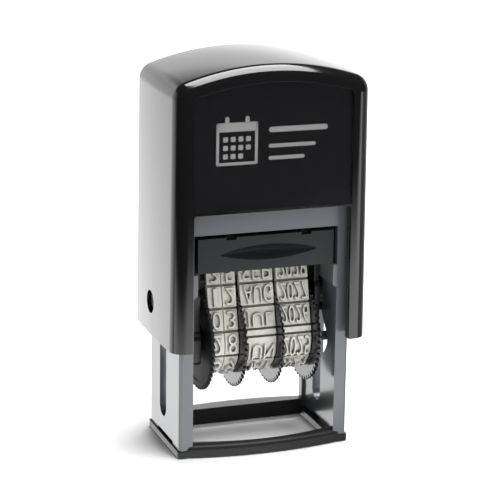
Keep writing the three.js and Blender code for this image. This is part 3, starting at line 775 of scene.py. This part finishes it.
def make_tray():
    """Cartridge open at the bottom, with a runner along each side and the scoop and notches in front."""
    front, back = TRAY_LOW.y, TRAY_HIGH.y
    bottom, top = TRAY_LOW.z, TRAY_HIGH.z
    inner = TRAY_HALF_X - TRAY_WALL
    tray = block((-TRAY_HALF_X, front, bottom), (TRAY_HALF_X, back, top), "tray")
    join(tray, block((TRAY_LOW.x, front + RUNNER_FRONT, bottom), (TRAY_HIGH.x, back, bottom + RUNNER_HEIGHT)))
    cut(
        tray,
        block((-inner, front + TRAY_WALL + 1, 0), (inner, back - TRAY_WALL, top - TRAY_WALL)),
        block((-inner, back - TRAY_WALL - 1, 0), (inner, back + 1, TRAY_BACK_LOW)),
        thumb_scoop(),
        *[block((x - 1, front - 1, top - 0.5), (x + 1, front + 1.5, top + 1)) for x in NOTCHES],
    )
    tidy(tray)
    bevel(tray, 0.18, 3, 40)
    finish_piece(tray, "cartridge", "pad", LOOKS["tray_grey"], ["pad_tray"], 40)


def make_pad():
    """Foam pad: a soft block with rounded edges and a slightly crowned underside."""
    low, high = node_box("ink_pad")
    pad = block(low, high, "pad")
    bm = bmesh.new()
    bm.from_mesh(pad.data)
    bmesh.ops.subdivide_edges(bm, edges=bm.edges, cuts=12, use_grid_fill=True)
    centre = (low + high) / 2
    for vertex in bm.verts:
        across = abs((vertex.co.x - centre.x) / (high.x - centre.x))
        along = abs((vertex.co.y - centre.y) / (high.y - centre.y))
        if vertex.co.z < centre.z:
            vertex.co.z += 0.3 * max(across, along) ** 6
    bm.to_mesh(pad.data)
    bm.free()
    bevel(pad, 0.3, 3, 50)
    finish_piece(pad, "ink_foam", "pad", LOOKS["felt"], ["ink_pad"], 60)


# ---- carrier -----------------------------------------------------------------------------------
def cheek_outline():
    """Outline in (y, z) of a cheek: three widths one above the other, every corner round."""
    r = CHEEK_CORNER
    low = PIVOT.z - CHEEK_BELOW_PIVOT
    tops = [
        (CHEEK_WIDE, WHEEL_AXIS.z + 3, CHEEK_MIDDLE),
        (CHEEK_MIDDLE, PIVOT.z + 3, CHEEK_NARROW),
        (CHEEK_NARROW, PIVOT.z + CHEEK_ABOVE_PIVOT, 0),
    ]
    right = arc(CHEEK_WIDE - r, low + r, r, -90, 0, 6)
    for half, top, narrower in tops:
        limit = max(narrower - (half - r), 0)
        right += arc(half - r, top - r, r, 0, math.degrees(math.acos(limit / r)), 6)
    left = [(-y, z) for y, z in reversed(right)]
    return [(PIVOT.y + y, z) for y, z in right + left]


def make_cheek(side, inner, name, node):
    """Side plate with a pocket, the holes for pin and axle, and the guide pin on its outside."""
    y, z = PIVOT.y, PIVOT.z
    near, far = (-CHEEK_OUTER, -inner) if side < 0 else (inner, CHEEK_OUTER)
    plate = prism(cheek_outline(), "x", near, far, name)
    face = side * CHEEK_OUTER
    pocket = round_rect(y - POCKET_HALF_Y, y + POCKET_HALF_Y, z + POCKET_LOW, z + POCKET_HIGH, 1)
    cut(
        plate,
        prism(pocket, "x", *sorted((face - side * POCKET_DEPTH, face + side * 1.0))),
        prism(circle(y, WHEEL_AXIS.z, AXLE_HOLE, 32), "x", near - 1, far + 1),
        prism(circle(y, z, PIN_CHEEK_HOLE, 32), "x", near - 1, far + 1),
    )
    reach = sorted((face - side * 0.5, side * GUIDE_PIN_TIP))
    join(plate, prism(circle(y, z - GUIDE_ARM, GUIDE_PIN_RADIUS, 24), "x", *reach))
    tidy(plate)
    bevel(plate, 0.16, 2, 40)
    finish_piece(plate, name, "carrier", LOOKS["carrier_black"], [node], 40)


def make_pivot_pin(side, node):
    """Stepped pin with a dimple in its end; the left one is the right one mirrored."""
    low, high = node_box(node)
    root = min(abs(low.x), abs(high.x))
    pin = prism(circle(PIVOT.y, PIVOT.z, PIN_RADIUS, 40), "x", root, PIN_SHOULDER)
    join(pin, prism(circle(PIVOT.y, PIVOT.z, PIN_TIP_RADIUS, 40), "x", 14, PIN_TIP))
    cut(pin, prism(circle(PIVOT.y, PIVOT.z, PIN_DIMPLE, 24), "x", PIN_TIP - 0.6, PIN_TIP + 1))
    tidy(pin)
    bevel(pin, 0.14, 3, 40)
    if side < 0:
        for vertex in pin.data.vertices:
            vertex.co.x = -vertex.co.x
        pin.data.flip_normals()
    finish_piece(pin, node + "_turned", "carrier", LOOKS["carrier_black"], [node], 40)


def make_bridge():
    """Bar under the print face, with fins between the bands."""
    low, high = node_box("print_bridge")
    y = PIVOT.y
    start, top = PIVOT.z + BRIDGE_START, PIVOT.z + FACE_REACH - BAND_TOTAL - 0.3
    bridge = prism(round_rect(y - BRIDGE_HALF_Y, y + BRIDGE_HALF_Y, start, top, 0.4), "x", low.x, high.x)
    for x in FINS:
        fin = round_rect(y - FIN_HALF_Y, y + FIN_HALF_Y, start, top + FIN_RISE, 1)
        join(bridge, prism(fin, "x", x - FIN_HALF_X, x + FIN_HALF_X))
    tidy(bridge)
    bevel(bridge, 0.08, 2, 40)
    finish_piece(bridge, "bridge", "carrier", LOOKS["carrier_black"], ["print_bridge"], 40)


def make_axle():
    """Steel rod through the four wheels."""
    low, high = node_box("wheel_axle")
    axle = prism(circle(PIVOT.y, WHEEL_AXIS.z, AXLE_RADIUS, 40), "x", low.x, high.x)
    bevel(axle, 0.25, 3, 40)
    finish_piece(axle, "axle", "carrier", LOOKS["steel"], ["wheel_axle"], 40)


# ---- date bands --------------------------------------------------------------------------------
def loop_shape():
    """A band's loop: its tight end, how far its sides lean, and the lengths of side, corner and wheel arc."""
    top = PIVOT.z + FACE_REACH - BAND_TOTAL - BAND_INNER_TOP
    span = math.hypot(BAND_HALF_FLAT, top - WHEEL_AXIS.z)
    shrink = BAND_INNER_WHEEL - BAND_INNER_TOP
    lean = math.atan2(top - WHEEL_AXIS.z, BAND_HALF_FLAT) - math.acos(shrink / span)
    straight = math.sqrt(span ** 2 - shrink ** 2)
    corner = (BAND_INNER_TOP + BAND_NEUTRAL) * (math.pi / 2 - lean)
    wheel = (BAND_INNER_WHEEL + BAND_NEUTRAL) * (math.pi / 2 + lean)
    return top, lean, straight, corner, wheel


LOOP_TOP, LEAN, STRAIGHT, CORNER_ARC, WHEEL_ARC = loop_shape()
HALF_LOOP = BAND_HALF_FLAT + CORNER_ARC + STRAIGHT + WHEEL_ARC
STRIP = 2 * HALF_LOOP - CELLS * PITCH


def loop_point(s, offset):
    """(y, z) at the distance s from the print face, down the front first, raised by offset."""
    rest = s % (2 * HALF_LOOP)
    side = -1 if rest <= HALF_LOOP else 1
    if side > 0:
        rest = 2 * HALF_LOOP - rest
    if rest <= BAND_HALF_FLAT:
        return PIVOT.y + side * rest, LOOP_TOP + BAND_INNER_TOP + offset
    rest -= BAND_HALF_FLAT
    radius = BAND_INNER_TOP + offset
    if rest <= CORNER_ARC:
        angle = math.pi / 2 - rest / (BAND_INNER_TOP + BAND_NEUTRAL)
        return PIVOT.y + side * (BAND_HALF_FLAT + radius * math.cos(angle)), LOOP_TOP + radius * math.sin(angle)
    rest -= CORNER_ARC
    if rest <= STRAIGHT:
        y = BAND_HALF_FLAT + radius * math.cos(LEAN) + rest * math.sin(LEAN)
        return PIVOT.y + side * y, LOOP_TOP + radius * math.sin(LEAN) - rest * math.cos(LEAN)
    angle = LEAN - (rest - STRAIGHT) / (BAND_INNER_WHEEL + BAND_NEUTRAL)
    radius = BAND_INNER_WHEEL + offset
    return PIVOT.y + side * radius * math.cos(angle), WHEEL_AXIS.z + radius * math.sin(angle)


def raised(start, end, level, steps=8):
    """Outline points of a plate from start to end along the loop, with sloped sides."""
    ease = PLATE_SLOPE
    points = [loop_point(start, BAND_BASE), loop_point(start + ease, level)]
    points += [loop_point(start + ease + (end - start - 2 * ease) * i / steps, level) for i in range(1, steps)]
    return points + [loop_point(end - ease, level), loop_point(end, BAND_BASE)]


def cell_middles(strip_after):
    """Where each cell's middle lies along the loop; the plain strip follows one of the cells."""
    return [cell * PITCH + (STRIP if cell > strip_after else 0) for cell in range(CELLS)]


def band_strap(left, right, strip_after):
    """The loop of rubber with a raised plate for each cell."""
    outline = []
    for cell, middle in enumerate(cell_middles(strip_after)):
        outline += raised(middle - PLATE_HALF, middle + PLATE_HALF, BAND_PLATE)
        if cell == strip_after:
            first = middle + PITCH / 2
            outline += raised(first + STRIP_GAP, first + STRIP - STRIP_GAP, BAND_PLATE + STRIP_EXTRA, 4)
    strap = prism(outline, "x", left, right, "strap")
    steps = 96
    inside = [loop_point(2 * HALF_LOOP * i / steps, 0) for i in range(steps)]
    cut(strap, prism(inside, "x", left - 1, right + 1))
    tidy(strap)
    return bevel(strap, 0.1, 2, 35)


def glyph_mesh(text, width, height, rise):
    """Raised characters, width by height, centred, cut into slices so that they can bend."""
    curve = bpy.data.curves.new("glyphs", "FONT")
    curve.body = text
    curve.align_x = "CENTER"
    curve.offset = -0.008
    curve.resolution_u = 4
    curve.extrude = 0.5
    holder = bpy.data.objects.new("glyphs", curve)
    bpy.context.scene.collection.objects.link(holder)
    bpy.context.view_layer.update()
    mesh = bpy.data.meshes.new_from_object(holder.evaluated_get(bpy.context.evaluated_depsgraph_get()))
    bpy.data.objects.remove(holder, do_unlink=True)
    bm = bmesh.new()
    bm.from_mesh(mesh)
    bpy.data.meshes.remove(mesh)
    bmesh.ops.remove_doubles(bm, verts=bm.verts, dist=1e-5)
    low = Vector([min(v.co[k] for v in bm.verts) for k in range(3)])
    high = Vector([max(v.co[k] for v in bm.verts) for k in range(3)])
    size = high - low
    for vertex in bm.verts:
        share = vertex.co - low
        vertex.co = Vector((
            (share.x / size.x - 0.5) * width,
            (share.y / size.y - 0.5) * height,
            share.z / size.z * rise,
        ))
    for k in range(-3, 4):
        plane = height * k / 8
        geometry = bm.verts[:] + bm.edges[:] + bm.faces[:]
        bmesh.ops.bisect_plane(bm, geom=geometry, plane_co=(0, plane, 0), plane_no=(0, 1, 0))
    return bm


def band_glyphs(text, middle, left, right):
    """The characters of one cell, mirrored for printing and bent along the loop."""
    room = right - left
    narrow = 0.45 if text == "1" else 1
    rise = BAND_TOTAL - BAND_PLATE + GLYPH_ROOT
    bm = glyph_mesh(text, room * GLYPH_WIDTHS[len(text)] * narrow, GLYPH_HEIGHT, rise)
    centre = (left + right) / 2
    for vertex in bm.verts:
        offset = BAND_PLATE - GLYPH_ROOT + vertex.co.z
        spread = 1 - 0.07 * max(vertex.co.z - GLYPH_ROOT, 0)
        y, z = loop_point(middle + vertex.co.y * spread, offset)
        vertex.co = Vector((centre + vertex.co.x * spread, y, z))
    return closed("glyphs", bm)


MONTHS = ["OCT", "SEP", "AUG", "JUL", "JUN", "MAY", "APR", "MAR", "FEB", "JAN", "DEC", "NOV"]
# for each band: the cell that the plain strip follows, and the characters of its cells
BANDS = {
    "date_band_day_tens": (7, ["2", "3", "1", "0", "2", "3", "1", "0", "2", "3", "1", "0"]),
    "date_band_day_units": (7, ["4", "5", "2", "3", "8", "9", "0", "1", "6", "7", "4", "5"]),
    "date_band_month": (3, MONTHS),
    "date_band_year": (3, [str(2029 - i) for i in range(12)]),
}


def make_band(node, strip_after, labels):
    """A strap with its characters, as one piece."""
    low, high = node_box(node)
    parts = [band_strap(low.x, high.x, strip_after)]
    for label, middle in zip(labels, cell_middles(strip_after)):
        parts.append(band_glyphs(label, middle, low.x, high.x))
    band = merged(node, parts)
    finish_piece(band, node.replace("date_band", "band"), "carrier", LOOKS["rubber"], [node], 30)


# ---- thumb wheels ------------------------------------------------------------------------------
TEETH = 48
WHEEL_RADIUS = 10.0
WHEEL_ROOT = 9.35
WHEEL_BORE = 1.35
DRUM_RADIUS = 5.1
FACE_RING = (3.0, 8.5)
FACE_RING_DEPTH = 0.12
# for each wheel: the two faces of its disc, and how far its drum reaches
WHEELS = {
    "thumb_wheel_day_tens": (-10.45, -9.75, -6.78),
    "thumb_wheel_day_units": (-3.74, -3.14, -6.62),
    "thumb_wheel_month": (3.92, 4.42, -3.02),
    "thumb_wheel_year": (11.2, 11.85, 4.54),
}


def toothed(start):
    """Outline of a wheel with blunt teeth, turned by a share of one tooth."""
    points = []
    for i in range(TEETH):
        for part, r in ((0.0, WHEEL_ROOT), (0.22, WHEEL_ROOT), (0.42, WHEEL_RADIUS), (0.8, WHEEL_RADIUS)):
            angle = (i + part + start) / TEETH * 2 * math.pi
            points.append((PIVOT.y + r * math.cos(angle), WHEEL_AXIS.z + r * math.sin(angle)))
    return points


def make_wheel(node, near, far, drum_to):
    """Toothed disc with a smooth drum on one side and a shallow ring cut into the other."""
    wheel = prism(toothed(RANDOM.random()), "x", near, far, node)
    bevel(wheel, 0.09, 2, 25)
    y, z = PIVOT.y, WHEEL_AXIS.z
    drum = (near + 0.1, drum_to) if drum_to > far else (drum_to, far - 0.1)
    join(wheel, prism(circle(y, z, DRUM_RADIUS, 72), "x", *drum))
    span = (near - 1, near + FACE_RING_DEPTH) if drum_to > far else (far - FACE_RING_DEPTH, far + 1)
    inner, outer = FACE_RING
    ring = cut(prism(circle(y, z, outer, 72), "x", *span),
               prism(circle(y, z, inner, 40), "x", span[0] - 1, span[1] + 1))
    cut(wheel, ring, prism(circle(y, z, WHEEL_BORE, 40), "x", near - 20, far + 20))
    tidy(wheel)
    body = node.replace("thumb_wheel", "wheel")
    # the outer left disc takes the duller copy: painted shade where the cheek keeps light off it
    look = LOOKS["wheel_shaded_copy" if node == "thumb_wheel_day_tens" else "wheel_black"]
    finish_piece(wheel, node.replace("thumb_wheel", "disc"), body, look, [node], 28)


# ---- stage -------------------------------------------------------------------------------------
WORLD_TOP = 4.5
FRONT_WORLD = 0.05
FRONT_GLOW = 3.2
AMBIENT = 0.08


def make_floor():
    """Plain white table, 6 m across."""
    half = 3.0
    bm = bmesh.new()
    corners = [bm.verts.new((x * half, y * half, -0.0002)) for x, y in ((-1, -1), (1, -1), (1, 1), (-1, 1))]
    bm.faces.new(corners)
    floor = make("floor", bm)
    floor.data.materials.append(LOOKS["floor"])
    floor.visible_glossy = False


def smooth_ramp(nodes, links, source, between, levels):
    """A value that eases from one level to the other as the source goes from the first limit to the second."""
    ramp = nodes.new("ShaderNodeMapRange")
    ramp.interpolation_type = "SMOOTHSTEP"
    for socket, value in zip(("From Min", "From Max", "To Min", "To Max"), (*between, *levels)):
        ramp.inputs[socket].default_value = value
    links.new(source, ramp.inputs["Value"])
    return ramp.outputs["Result"]


def make_front_glow():
    """The bright table in front of the stamp as shiny surfaces see it: it fades away from the stamp."""
    near, far, half = -0.008, -0.3, 0.4
    bm = bmesh.new()
    corners = ((-half, far), (half, far), (half, near), (-half, near))
    bm.faces.new([bm.verts.new((x, y, -0.0006)) for x, y in corners])
    card = make("front_glow", bm)
    material = bpy.data.materials.new("front glow")
    material.use_nodes = True
    nodes, links = material.node_tree.nodes, material.node_tree.links
    nodes.clear()
    place = nodes.new("ShaderNodeTexCoord")
    slant = nodes.new("ShaderNodeVectorMath")
    slant.operation = "DOT_PRODUCT"
    slant.inputs[1].default_value = (0.6, 1, 0)
    product = nodes.new("ShaderNodeMath")
    product.operation = "MULTIPLY"
    emission = nodes.new("ShaderNodeEmission")
    output = nodes.new("ShaderNodeOutputMaterial")
    links.new(place.outputs["Object"], slant.inputs[0])
    along = slant.outputs["Value"]
    links.new(smooth_ramp(nodes, links, along, (-0.17, -0.06), (0.03, FRONT_GLOW)), product.inputs[0])
    links.new(smooth_ramp(nodes, links, along, (-0.022, 0.006), (1.0, 0.15)), product.inputs[1])
    links.new(product.outputs[0], emission.inputs["Strength"])
    links.new(emission.outputs[0], output.inputs["Surface"])
    card.data.materials.append(material)
    card.visible_camera = False
    card.visible_diffuse = False
    card.visible_shadow = False
    card.visible_transmission = False


def softbox(name, location, target, size, power):
    """A rectangular lamp turned to its target."""
    data = bpy.data.lights.new(name, "AREA")
    data.shape = "RECTANGLE"
    data.size, data.size_y = size
    data.energy = power
    light = bpy.data.objects.new(name, data)
    light.location = location
    light.rotation_mode = "QUATERNION"
    light.rotation_quaternion = (Vector(target) - Vector(location)).to_track_quat("-Z", "Y")
    light.visible_camera = False
    bpy.context.scene.collection.objects.link(light)
    return light


def make_world():
    """White to the camera. Around the stamp bright behind, brightest below the horizon, dim in front."""
    world = bpy.data.worlds.new("studio")
    bpy.context.scene.world = world
    world.use_nodes = True
    nodes, links = world.node_tree.nodes, world.node_tree.links
    nodes.clear()
    rays = nodes.new("ShaderNodeLightPath")
    seen = nodes.new("ShaderNodeBackground")
    around = nodes.new("ShaderNodeBackground")
    mix = nodes.new("ShaderNodeMixShader")
    output = nodes.new("ShaderNodeOutputWorld")
    place = nodes.new("ShaderNodeTexCoord")
    split = nodes.new("ShaderNodeSeparateXYZ")
    links.new(place.outputs["Generated"], split.inputs[0])
    height = nodes.new("ShaderNodeMapRange")
    height.inputs["From Min"].default_value = -1
    height.inputs["From Max"].default_value = 1
    links.new(split.outputs["Z"], height.inputs["Value"])
    curve = nodes.new("ShaderNodeValToRGB")
    stops = curve.color_ramp.elements
    stops[0].position, stops[-1].position = 0, 1
    # brightness by height, from straight down at -1 to straight up at 1
    levels = [(-1, 1.4), (-0.3, 2.75), (-0.17, 2.0), (-0.04, 1.6), (0.1, 1.65), (0.25, 1.45), (0.33, 1.55),
              (0.42, 0.6), (0.52, 0.08), (1, 0.05)]
    while len(stops) < len(levels):
        stops.new(0.5)
    for stop, (z, level) in zip(stops, levels):
        stop.position = (z + 1) / 2
        stop.color = (level / WORLD_TOP, level / WORLD_TOP, level / WORLD_TOP, 1)
    links.new(height.outputs["Result"], curve.inputs["Fac"])
    depth = smooth_ramp(nodes, links, split.outputs["Y"], (-0.15, 0.55), (0, 1))
    aside = smooth_ramp(nodes, links, split.outputs["X"], (0.4, 0.8), (1, 0.4))
    share = nodes.new("ShaderNodeMath")
    share.operation = "MULTIPLY"
    links.new(depth, share.inputs[0])
    links.new(aside, share.inputs[1])
    blend = nodes.new("ShaderNodeMix")
    blend.data_type = "RGBA"
    blend.inputs["A"].default_value = (FRONT_WORLD / WORLD_TOP,) * 3 + (1,)
    links.new(share.outputs[0], blend.inputs["Factor"])
    links.new(curve.outputs["Color"], blend.inputs["B"])
    scale = nodes.new("ShaderNodeVectorMath")
    scale.operation = "SCALE"
    scale.inputs["Scale"].default_value = WORLD_TOP
    links.new(blend.outputs["Result"], scale.inputs[0])
    choose = nodes.new("ShaderNodeMix")
    choose.data_type = "RGBA"
    choose.inputs["A"].default_value = (AMBIENT, AMBIENT, AMBIENT, 1)
    links.new(rays.outputs["Is Glossy Ray"], choose.inputs["Factor"])
    links.new(scale.outputs[0], choose.inputs["B"])
    links.new(choose.outputs["Result"], around.inputs["Color"])
    links.new(rays.outputs["Is Camera Ray"], mix.inputs["Fac"])
    links.new(around.outputs[0], mix.inputs[1])
    links.new(seen.outputs[0], mix.inputs[2])
    seen.inputs["Color"].default_value = (1, 1, 1, 1)
    links.new(mix.outputs[0], output.inputs["Surface"])
    world.cycles.sampling_method = "NONE"


def make_lights():
    """A large lamp above, and two weaker ones in front that leave no highlight."""
    middle = (0, 0, 0.04)
    softbox("top light", (0.15, 0.02, 0.8), (0, 0, 0.07), (0.8, 0.5), 15.0)
    key = softbox("front light", (0.15, -0.6, 0.5), middle, (0.5, 0.3), 1.8)
    fill = softbox("low front light", (0.0, -0.8, 0.09), middle, (0.6, 0.12), 1.3)
    for light in (key, fill):
        light.visible_glossy = False


def make_camera():
    """Long lens, a little above the stamp and to its left."""
    data = bpy.data.cameras.new("camera")
    data.lens = 147.9
    data.sensor_width = 36
    data.clip_start = 0.01
    camera = bpy.data.objects.new("camera", data)
    bpy.context.scene.collection.objects.link(camera)
    azimuth, elevation, roll = math.radians(-19.568), math.radians(15.635), math.radians(0.879)
    target = Vector((0.00002, 0, 0.037485))
    back = Vector((
        math.sin(azimuth) * math.cos(elevation),
        -math.cos(azimuth) * math.cos(elevation),
        math.sin(elevation),
    ))
    camera.rotation_mode = "QUATERNION"
    turn = (-back).to_track_quat("-Z", "Y")
    camera.rotation_quaternion = turn @ Matrix.Rotation(roll, 4, "Z").to_quaternion()
    camera.location = target + back * 0.3971
    bpy.context.scene.camera = camera


# ---- the stamp ---------------------------------------------------------------------------------
make_cap()
make_label()
make_print()
make_frame()
make_foot()
make_spring()
make_tray()
make_pad()
make_cheek(-1, LEFT_CHEEK_INNER, "cheek_left", "carrier_cheek_left")
make_cheek(1, RIGHT_CHEEK_INNER, "cheek_right", "carrier_cheek_right")
make_pivot_pin(-1, "pivot_pin_left")
make_pivot_pin(1, "pivot_pin_right")
make_bridge()
make_axle()
for band_node, (strip_cell, band_labels) in BANDS.items():
    make_band(band_node, strip_cell, band_labels)
for wheel_node, (disc_near, disc_far, drum_end) in WHEELS.items():
    make_wheel(wheel_node, disc_near, disc_far, drum_end)
make_floor()
make_front_glow()
make_world()
make_lights()
make_camera()
view = bpy.context.scene.view_settings
view.view_transform = "Standard"
view.look = "None"
